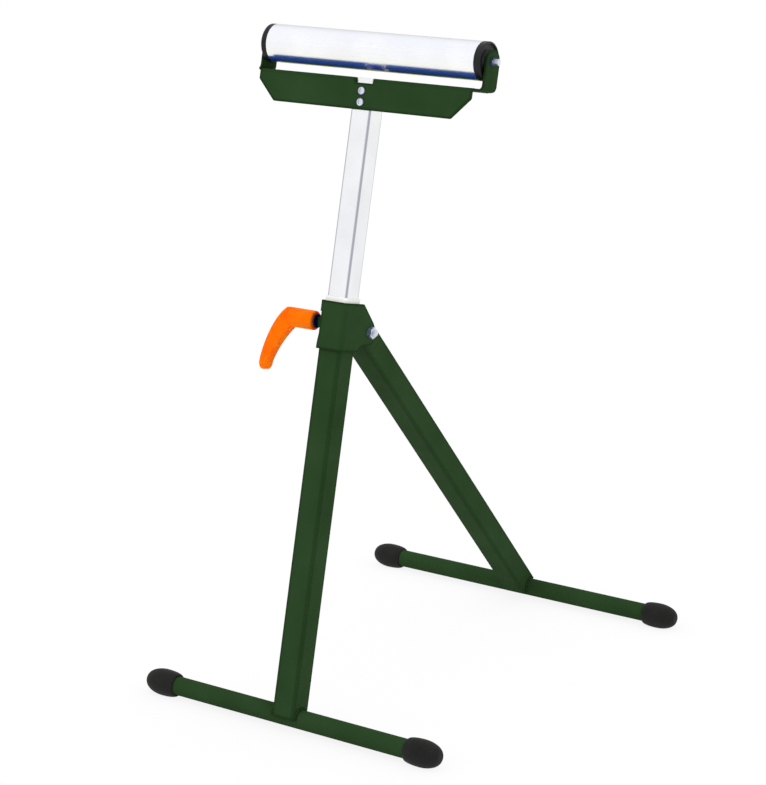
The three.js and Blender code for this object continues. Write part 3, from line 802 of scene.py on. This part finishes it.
def head_bracket():
    """Front plate drawn on its outline, its top edge run back as a shelf, and an ear at each end."""
    low, high = column_box("head_bracket")
    half = PLATE_SHEET / 2
    plate_y = low.y + half
    plate_half = 152 * MM
    shelf_z = low.z + 38.5 * MM - half
    ear_x = high.x - half
    ear_root = low.y + 8 * MM
    ear_foot = shelf_z + half + 1 * MM
    ear_middle = AXLE.y + 3 * MM
    ear_radius = high.y - ear_middle
    chamfer = 25 * MM
    chamfer_rise = 25.5 * MM
    piece = draw_face("head", [
        (chamfer - plate_half, plate_y, low.z),
        (plate_half - chamfer, plate_y, low.z),
        (plate_half, plate_y, low.z + chamfer_rise),
        (plate_half, plate_y, shelf_z),
        (-plate_half, plate_y, shelf_z),
        (-plate_half, plate_y, low.z + chamfer_rise),
    ])
    pick("VERT", lambda vertex: vertex.co.z < low.z + chamfer_rise + MM)
    bpy.ops.mesh.bevel(offset=1.5 * MM, segments=4, affect="VERTICES")
    pick("EDGE", lambda edge: all(abs(vertex.co.z - shelf_z) < ON_LINE for vertex in edge.verts))
    push((0, ear_root - plate_y, 0))
    push((0, high.y - ear_root, 0))
    for sign in (1, -1):
        pick("EDGE", lambda edge: is_shelf_end(edge, sign * plate_half, ear_root, high.y))
        push((sign * (ear_x - plate_half), 0, 0))
    bpy.ops.object.mode_set(mode="OBJECT")
    outline = [(ear_root, shelf_z), (high.y, shelf_z)]
    for angle in even_steps(0, math.pi, 24):
        y = ear_middle + ear_radius * math.cos(angle)
        outline.append((y, high.z - ear_radius + ear_radius * math.sin(angle)))
    ear_front = ear_middle - ear_radius
    fillet = 7 * MM
    for share in even_steps(0, 1, 8):
        y = ear_front + (ear_root - ear_front) * share ** 2
        outline.append((y, ear_foot + fillet * (1 - share) ** 2))
    ears = []
    for sign in (1, -1):
        ears.append(draw_face("ear", [(sign * ear_x, y, z) for y, z in outline]))
        bpy.ops.object.mode_set(mode="OBJECT")
    fuse(piece, *ears)
    bpy.ops.object.mode_set(mode="EDIT")
    tidy_mesh()
    pick("EDGE", lambda edge: is_head_bend(edge, plate_y, shelf_z, ear_x))
    bpy.ops.mesh.bevel(offset=2.6 * MM, segments=6, affect="EDGES")
    bpy.ops.mesh.select_all(action="SELECT")
    bpy.ops.mesh.normals_make_consistent(inside=False)
    bpy.ops.object.mode_set(mode="OBJECT")
    apply_modifier(piece, "SOLIDIFY", thickness=PLATE_SHEET, offset=0, use_even_offset=True)
    top = shelf_z + half
    gap = column_box("mast_tube")[1].x + SEAT_GAP
    notch_left = -10.7 * MM
    notch_foot = top - 6.5 * MM
    axle_hole = 8.6 * MM
    carve(piece, block((notch_left, low.y - MM, notch_foot), (gap, MM - gap, top + MM)))
    carve(piece, block((-gap, -gap, notch_foot), (gap, gap, top + MM)))
    for side in (high.x - 10 * MM, low.x - MM):
        carve(piece, ear_corner(side, side + 11 * MM, high.y, shelf_z - half), solver="FAST")
    carve(piece, peg(axle_hole, -1, 1, AXLE))
    soften(piece, 0.35 * MM, 3, 40)
    lean(piece, "mast", GREEN, "green_paint", "head_bracket")


def ear_corner(start, end, back, under):
    """A cutter that rounds the lower rear corner of an ear."""
    radius = 9 * MM
    centre_y = back - radius + 0.05 * MM
    centre_z = under + radius - 0.05 * MM
    outline = [(start, back + MM, under - MM), (start, back + MM, centre_z)]
    for angle in even_steps(0, math.pi / 2, 10):
        y = centre_y + radius * math.cos(angle)
        outline.append((start, y, centre_z - radius * math.sin(angle)))
    outline.append((start, centre_y, under - MM))
    return prism("ear_corner", outline, (end - start, 0, 0))


def is_shelf_end(edge, x, start, end):
    """True for the shelf's end edge between two places along Y."""
    spot = middle(edge)
    on_end = all(abs(vertex.co.x - x) < ON_LINE for vertex in edge.verts)
    return on_end and start + MM < spot.y < end


def is_head_bend(edge, plate_y, shelf_z, ear_x):
    """True for the long bend at the plate and for the short ones at the ears."""
    on_shelf = all(abs(vertex.co.z - shelf_z) < ON_LINE for vertex in edge.verts)
    at_plate = all(abs(vertex.co.y - plate_y) < ON_LINE for vertex in edge.verts)
    at_ear = all(abs(abs(vertex.co.x) - ear_x) < ON_LINE for vertex in edge.verts)
    return on_shelf and (at_plate or at_ear)


# Fasteners

def thread(diameter, pitch, start, end):
    """A screw thread along X, swept from one tooth."""
    depth = 0.58 * pitch
    root = diameter / 2 - depth
    crest = diameter / 2
    tooth = [(0, root), (0.4 * pitch, crest), (0.52 * pitch, crest), (0.92 * pitch, root), (pitch, root)]
    piece = draw_line("thread", [(start + along, 0, radius) for along, radius in tooth])
    bpy.ops.object.mode_set(mode="OBJECT")
    apply_modifier(
        piece,
        "SCREW",
        axis="X",
        screw_offset=pitch,
        angle=math.tau,
        iterations=max(1, round((end - start) / pitch) - 1),
        steps=SMALL_SIDES,
        render_steps=SMALL_SIDES,
        use_merge_vertices=True,
        merge_threshold=FINE,
    )
    bpy.ops.object.mode_set(mode="EDIT")
    tidy_mesh()
    bpy.ops.mesh.fill_holes(sides=0)
    bpy.ops.mesh.normals_make_consistent(inside=False)
    bpy.ops.object.mode_set(mode="OBJECT")
    return piece


def shank(piece_name, diameter, start, end, ease=0.6 * MM):
    """A plain round shank along X with chamfered ends."""
    radius = diameter / 2
    profile = [
        (start, 0),
        (start, radius - ease),
        (start + ease, radius),
        (end - ease, radius),
        (end, radius - ease),
        (end, 0),
    ]
    return turn(piece_name, profile, SMALL_SIDES)


def hexagon(piece_name, flats, start, end):
    """A hexagon along X whose corners are turned off as on a real nut."""
    bpy.ops.object.select_all(action="DESELECT")
    corner = flats / math.sqrt(3)
    bpy.ops.mesh.primitive_cylinder_add(vertices=6, radius=corner, depth=end - start)
    piece = bpy.context.object
    piece.name = piece_name
    upright = Matrix.Rotation(math.pi / 6, 4, "X") @ Matrix.Rotation(math.pi / 2, 4, "Y")
    move(piece, at(x=(start + end) / 2) @ upright)
    face = flats * 0.475
    past = corner * 1.05
    drop = 1.2 * (corner - face) * math.tan(math.radians(30))
    profile = [
        (start, 0),
        (start, face),
        (start + drop, past),
        (end - drop, past),
        (end, face),
        (end, 0),
    ]
    carve(piece, turn("chamfer", profile, SMALL_SIDES), "INTERSECT")
    return piece


def nut(piece_name, flats, start, end, bore):
    """A hexagon nut with a round bore and eased edges."""
    piece = hexagon(piece_name, flats, start, end)
    carve(piece, peg(bore, start - MM, end + MM, (0, 0, 0)))
    soften(piece, 0.18 * MM, 2, 25)
    return piece


def pivot_hardware():
    """The bolt that the rear leg hangs on, and its flanged nut."""
    bolt_low, bolt_high = column_box("pivot_bolt")
    nut_low, nut_high = column_box("pivot_nut")
    collar_low, collar_high = column_box("collar_bracket")
    flats = nut_high.y - nut_low.y
    spot = at(y=PIVOT_IN_COLUMN.y, z=PIVOT_IN_COLUMN.z)
    diameter = 8 * MM
    bore = diameter + 2 * SEAT_GAP
    head = hexagon("pivot_bolt_head", flats, bolt_low.x, collar_low.x - SEAT_GAP)
    soften(head, 0.2 * MM, 2, 25)
    core = shank("pivot_shank", diameter - 1.3 * MM, collar_low.x - MM, bolt_high.x)
    plain = shank("pivot_plain", diameter, collar_low.x - MM, collar_high.x - MM)
    ridge = thread(diameter, 1.25 * MM, nut_low.x - 2 * MM, bolt_high.x - 0.4 * MM)
    bolt = fuse(head, core, plain, ridge)
    move(bolt, spot)
    lean(bolt, "front_frame", FASTENER_ZINC, "bright_zinc", "pivot_bolt")
    piece = nut("pivot_hex_nut", flats, nut_low.x, nut_high.x, bore)
    flange = shank("pivot_nut_collar", flats * 0.99, nut_low.x, nut_low.x + 1.1 * MM, 0.3 * MM)
    carve(flange, peg(bore, 0, 1, (0, 0, 0)))
    fuse(piece, flange)
    move(piece, spot)
    lean(piece, "front_frame", FASTENER_ZINC, "bright_zinc", "pivot_nut")


def head_screws():
    """Round-headed cross-recess screws through the plate, with nuts behind the mast."""
    for which in ("upper", "lower"):
        low, high = column_box("head_screw_" + which)
        nut_low, nut_high = column_box("head_nut_" + which)
        height = (low.z + high.z) / 2
        seat = column_box("head_bracket")[0].y - SEAT_GAP
        head_height = seat - low.y
        radius = (high.x - low.x) / 2
        profile = [(-1.5 * MM, 0), (0, radius * 0.9), (0.25 * MM, radius)]
        for angle in even_steps(math.radians(8), math.pi / 2, 12):
            profile.append((head_height * math.sin(angle), radius * math.cos(angle)))
        head = turn("screw_" + which, profile, SMALL_SIDES)
        arm = 0.55 * radius
        slit = 0.13 * radius
        depth = head_height * 0.45
        carve(head, block((depth, -arm, -slit), (2 * head_height, arm, slit)))
        carve(head, block((depth, -slit, -arm), (2 * head_height, slit, arm)))
        soften(head, 0.12 * MM, 2, 40)
        diameter = 6 * MM
        tip = seat - high.y
        core = shank("screw_core", diameter - 1.2 * MM, tip, 0.5 * MM, 0.4 * MM)
        ridge = thread(diameter, 1 * MM, tip + 0.3 * MM, seat - nut_low.y + 2 * MM)
        screw = fuse(head, core, ridge)
        forward = at(y=seat, z=height) @ Matrix.Rotation(-math.pi / 2, 4, "Z")
        move(screw, forward)
        lean(screw, "mast", FASTENER_ZINC, "bright_zinc", "head_screw_" + which)
        flats = 10 * MM
        bore = diameter + 2 * SEAT_GAP
        piece = nut("screw_nut_" + which, flats, nut_low.y, nut_high.y, bore)
        back = at(z=height) @ Matrix.Rotation(math.pi / 2, 4, "Z") @ Matrix.Rotation(math.pi / 6, 4, "X")
        move(piece, back)
        lean(piece, "mast", FASTENER_ZINC, "bright_zinc", "head_nut_" + which)


# Clamp

def bezier(first, second, third, last, steps):
    """Points along a cubic curve, without its first point."""
    points = []
    for share in even_steps(0, 1, steps)[1:]:
        rest = 1 - share
        points.append(
            rest ** 3 * first
            + 3 * rest ** 2 * share * second
            + 3 * rest * share ** 2 * third
            + share ** 3 * last
        )
    return points


def clamp_lever():
    """A round hub with a curved arm, moulded as one and left with soft edges."""
    hub_face = column_box("clamp_lever")[1].x
    hub_radius = 12 * MM
    hub_end = hub_face - 34 * MM
    bevel = 2 * MM
    ease = 1.2 * MM
    bore = 5.3 * MM
    bore_end = hub_face - 26 * MM
    tip_x = hub_end - 39 * MM
    tip_z = -59.1 * MM
    tip_low = -72.97 * MM
    arm_width = 13.4 * MM
    elbow = Vector((hub_end - 6.8 * MM, 0, hub_radius))
    root = Vector((hub_face - 32 * MM, 0, -hub_radius))
    tip_out = Vector((tip_x, 0, tip_z))
    tip_in = Vector((tip_x + arm_width, 0, tip_z))
    hub_middle = hub_face - 17 * MM
    sunk = hub_radius - 2.5 * MM
    shoulder = Vector((hub_face - 29 * MM, 0, hub_radius - 0.4 * MM))
    armpit = Vector((hub_face - 26 * MM, 0, 0.5 * MM - hub_radius))
    outline = [Vector((hub_middle, 0, sunk)), shoulder, elbow]
    bow = elbow + Vector((-18.7 * MM, 0, -2 * MM - hub_radius))
    outline += bezier(elbow, bow, tip_out + Vector((2.5 * MM, 0, 21.9 * MM)), tip_out, 20)
    outline += bezier(tip_out, Vector((tip_x, 0, tip_low)), Vector((tip_in.x, 0, tip_low)), tip_in, 12)
    inner = tip_in + Vector((3.8 * MM, 0, 13 * MM))
    outline += bezier(tip_in, inner, root + Vector((-14.4 * MM, 0, hub_radius - 27.6 * MM)), root, 20)
    outline += [armpit, Vector((hub_middle, 0, -sunk))]
    arm = draw_face("lever", outline)
    depth = 14 * MM
    bpy.ops.transform.translate(value=(0, -depth / 2, 0))
    push((0, depth, 0))
    tidy_mesh()
    bpy.ops.object.mode_set(mode="OBJECT")
    soften(arm, 1.9 * MM, 5, 50)
    hub = turn("lever_hub", [
        (bore_end, 0),
        (bore_end, bore),
        (hub_face - 0.8 * MM, bore),
        (hub_face, bore + 0.9 * MM),
        (hub_face, hub_radius - ease),
        (hub_face - ease, hub_radius),
        (hub_end, hub_radius),
        (hub_end - bevel, hub_radius - bevel),
        (hub_end - bevel, 0),
    ])
    carve(arm, hub, "UNION")
    carve(arm, peg(2 * bore, bore_end, hub_face + 5 * MM, (0, 0, 0)))
    apply_modifier(arm, "REMESH", mode="VOXEL", voxel_size=0.6 * MM, use_smooth_shade=True)
    apply_modifier(arm, "SMOOTH", factor=0.5, iterations=7)
    move(arm, at(y=CLAMP.y, z=CLAMP.z))
    lean(arm, "clamp_lever", LEVER_ORANGE, "orange_plastic", "clamp_lever")


def clamp_screw():
    """Stud, washer, weld nut and the pad that bears on the mast."""
    spot = at(y=CLAMP.y, z=CLAMP.z)
    low, high = column_box("clamp_stud")
    diameter = 10 * MM
    core = shank("clamp_screw", diameter - 1.8 * MM, low.x, high.x)
    ridge = thread(diameter, 1.5 * MM, low.x + 0.5 * MM, high.x - 0.5 * MM)
    stud = fuse(core, ridge)
    move(stud, spot)
    lean(stud, "clamp_lever", BLACK_STEEL, "dark_steel", "clamp_stud")

    low, high = column_box("clamp_washer")
    outer = (high.z - low.z) / 2
    ease = 0.5 * MM
    bore = diameter / 2 + SEAT_GAP
    washer = turn("clamp_ring", [
        (low.x, bore),
        (low.x, outer - ease),
        (low.x + ease, outer),
        (high.x - ease, outer),
        (high.x, outer - ease),
        (high.x, bore + ease),
        (high.x - ease, bore),
        (low.x, bore),
    ], SMALL_SIDES)
    move(washer, spot)
    lean(washer, "clamp_lever", BLACK_STEEL, "dark_steel", "clamp_washer")

    low, high = column_box("clamp_weld_nut")
    piece = nut("weld_nut", high.y - low.y, low.x, high.x, diameter + 2 * SEAT_GAP)
    move(piece, spot)
    lean(piece, "front_frame", GREEN, "green_paint", "clamp_weld_nut")

    low, high = column_box("clamp_pad")
    pad = shank("pressure_pad", high.z - low.z, low.x, high.x, 0.5 * MM)
    move(pad, spot)
    lean(pad, "clamp_pad", BUSH_GREY, "grey_nylon", "clamp_pad")


# Roller

def roller():
    """The zinc-plated tube with a dished cap and a bush at each end."""
    low, high = column_box("roller_tube")
    spot = at(y=AXLE.y, z=AXLE.z)
    diameter = high.z - low.z - 0.1 * MM
    wall = 2 * MM
    tube = round_tube("roller_shell", diameter, wall, low.x, high.x)
    move(tube, spot)
    lean(tube, "roller", ROLLER_ZINC, "bright_zinc", "roller_tube")

    cap_low, cap_high = column_box("roller_cap_right")
    radius = diameter / 2
    bush_seat = 7.3 * MM
    plug = radius - wall - SEAT_GAP
    hub = 10 * MM
    rim = high.x + SEAT_GAP
    outer = cap_high.x
    dish = 2.5 * MM
    cap = turn("cap_right", [
        (cap_low.x, bush_seat),
        (outer, bush_seat),
        (outer, hub),
        (outer - dish, hub + dish),
        (outer - dish, radius - 3.5 * MM),
        (outer, radius - 2.5 * MM),
        (outer, radius - 1 * MM),
        (outer - 1 * MM, radius),
        (rim, radius),
        (rim, plug),
        (cap_low.x, plug),
        (cap_low.x, bush_seat),
    ])
    soften(cap, 0.3 * MM, 2, 30)
    bush_low, bush_high = column_box("roller_bush_right")
    bush_bore = 4.3 * MM
    bush_radius = bush_seat - SEAT_GAP
    flange = 9 * MM
    bush = turn("bush_right", [
        (bush_low.x, bush_bore),
        (bush_high.x, bush_bore),
        (bush_high.x, flange),
        (outer + SEAT_GAP, flange),
        (outer + SEAT_GAP, bush_radius),
        (bush_low.x, bush_radius),
        (bush_low.x, bush_bore),
    ], SMALL_SIDES)
    soften(bush, 0.2 * MM, 2, 30)
    ends = (
        (cap, turned_round(cap, "cap_left"), CAP_BLACK, "black_plastic", "roller_cap_"),
        (bush, turned_round(bush, "bush_left"), BUSH_GREY, "grey_nylon", "roller_bush_"),
    )
    for right, left, finish, slot, node in ends:
        for piece, side in ((right, "right"), (left, "left")):
            move(piece, spot)
            lean(piece, "roller", finish, slot, node + side)


def domed_pin(piece_name, diameter, start, end, dome):
    """A round pin along X with a domed head at each end."""
    radius = diameter / 2
    quarter_turn = even_steps(0, math.pi / 2, 8)
    profile = [(start + dome * (1 - math.sin(angle)), radius * math.sin(angle)) for angle in quarter_turn]
    profile += [(end - dome * (1 - math.cos(angle)), radius * math.cos(angle)) for angle in quarter_turn]
    return turn(piece_name, profile, SMALL_SIDES)


def axle():
    """The pin that the roller turns on, with a spring clip at each end."""
    spot = at(y=AXLE.y, z=AXLE.z)
    low, high = column_box("roller_axle")
    pin = domed_pin("axle", high.z - low.z, low.x, high.x, 2.2 * MM)
    move(pin, spot)
    lean(pin, "mast", FASTENER_ZINC, "bright_zinc", "roller_axle")

    low, high = column_box("axle_clip_right")
    outer = (high.z - low.z) / 2
    bore = 4.3 * MM
    ease = 0.3 * MM
    clip = turn("clip_right", [
        (low.x, bore),
        (low.x, outer - ease),
        (low.x + ease, outer),
        (low.x + 0.7 * MM, outer - ease),
        (high.x - 0.2 * MM, bore + 1.0 * MM),
        (high.x, bore + 0.5 * MM),
        (high.x, bore),
        (low.x, bore),
    ], SMALL_SIDES)
    twin = turned_round(clip, "clip_left")
    for piece, side in ((clip, "right"), (twin, "left")):
        move(piece, spot)
        lean(piece, "mast", BLACK_STEEL, "dark_steel", "axle_clip_" + side)


# Studio

def camera():
    """The camera that took the photograph, as fitted to it."""
    data = bpy.data.cameras.new("photo_camera")
    data.sensor_fit = "HORIZONTAL"
    data.sensor_width = 36
    data.lens = FOCAL_PIXELS / IMAGE_WIDTH * data.sensor_width
    data.shift_x = SHIFT_RIGHT_PIXELS / IMAGE_WIDTH
    data.shift_y = -SHIFT_DOWN_PIXELS / IMAGE_WIDTH
    back = Vector((
        math.sin(CAMERA_AZIMUTH) * math.cos(CAMERA_ELEVATION),
        -math.cos(CAMERA_AZIMUTH) * math.cos(CAMERA_ELEVATION),
        math.sin(CAMERA_ELEVATION),
    ))
    made = bpy.data.objects.new("photo_camera", data)
    made.location = CAMERA_AIM + CAMERA_DISTANCE * back
    made.rotation_euler = back.to_track_quat("Z", "Y").to_euler()
    bpy.context.scene.collection.objects.link(made)
    bpy.context.scene.camera = made


def softbox(lamp_name, spot, size, power):
    """A square lamp that faces the middle of the stand."""
    data = bpy.data.lights.new(lamp_name, "AREA")
    data.size = size
    data.energy = power
    made = bpy.data.objects.new(lamp_name, data)
    made.location = spot
    made.rotation_euler = (Vector(spot) - CAMERA_AIM).to_track_quat("Z", "Y").to_euler()
    made.visible_glossy = False
    bpy.context.scene.collection.objects.link(made)


def seen_ray(tree):
    """One for the rays that show the background, nought for the light that it sheds."""
    path = add_node(tree, "ShaderNodeLightPath").outputs
    seen = larger(tree, path["Is Camera Ray"], path["Is Glossy Ray"])
    return larger(tree, seen, path["Is Transmission Ray"])


def studio():
    """A white room with three soft lamps, which sheds less light than it shows."""
    scene = bpy.context.scene
    scene.view_settings.view_transform = "Standard"
    world = bpy.data.worlds.new("white_studio")
    world.use_nodes = True
    scene.world = world
    tree = world.node_tree
    tree.nodes.clear()
    shed = add_node(tree, "ShaderNodeBackground", {"Color": WHITE, "Strength": 0.55})
    shown = add_node(tree, "ShaderNodeBackground", {"Color": WHITE, "Strength": 1.0})
    links = {0: seen_ray(tree), 1: shed.outputs[0], 2: shown.outputs[0]}
    both = add_node(tree, "ShaderNodeMixShader", links).outputs[0]
    add_node(tree, "ShaderNodeOutputWorld", {"Surface": both})
    softbox("key_softbox", spot=(-1.6, -2.4, 2.3), size=2.0, power=46)
    softbox("side_softbox", spot=(2.6, -1.2, 1.5), size=1.6, power=30)
    softbox("top_softbox", spot=(0.2, 0.6, 2.8), size=1.8, power=30)


def floor():
    """A pale floor for the light and the stand's soft shadow. To the eye the rest of it is clear, so the
    white studio shows, and so does the rear foot where it folds down past the floor."""
    bpy.ops.object.select_all(action="DESELECT")
    bpy.ops.mesh.primitive_plane_add(size=14)
    piece = bpy.context.object
    piece.name = "studio_floor"
    finish = bpy.data.materials.new("pale_floor")
    finish.use_nodes = True
    tree = finish.node_tree
    tree.nodes.clear()
    matte = add_node(tree, "ShaderNodeBsdfDiffuse", {"Color": (0.9, 0.9, 0.9, 1)})
    # To the eye the shadow is painted: the clear floor is darkened by how much the stand covers each
    # spot, not by the lamps
    shadow_reach = 0.3
    deepest = 0.86
    links = {"Distance": shadow_reach}
    open_air = add_node(tree, "ShaderNodeAmbientOcclusion", links, samples=4).outputs["AO"]
    shadow = spread(tree, open_air, 0.0, 1.0, deepest, 1.0)
    clear = add_node(tree, "ShaderNodeBsdfTransparent", {"Color": shadow})
    from_below = add_node(tree, "ShaderNodeNewGeometry").outputs["Backfacing"]
    amount = larger(tree, seen_ray(tree), from_below)
    links = {0: amount, 1: matte.outputs[0], 2: clear.outputs[0]}
    both = add_node(tree, "ShaderNodeMixShader", links).outputs[0]
    add_node(tree, "ShaderNodeOutputMaterial", {"Surface": both})
    piece.data.materials.append(finish)


camera()
studio()
floor()
front_column()
foot_bar("front", "front_frame", front_bar_box)
foot_bar("rear", "rear_leg", rear_bar_box)
foot_cap("front", "front_frame")
foot_cap("rear", "rear_leg")
collar()
mast_guide()
rear_leg()
pivot_hardware()
clamp_screw()
clamp_lever()
mast()
head_bracket()
head_screws()
roller()
axle()
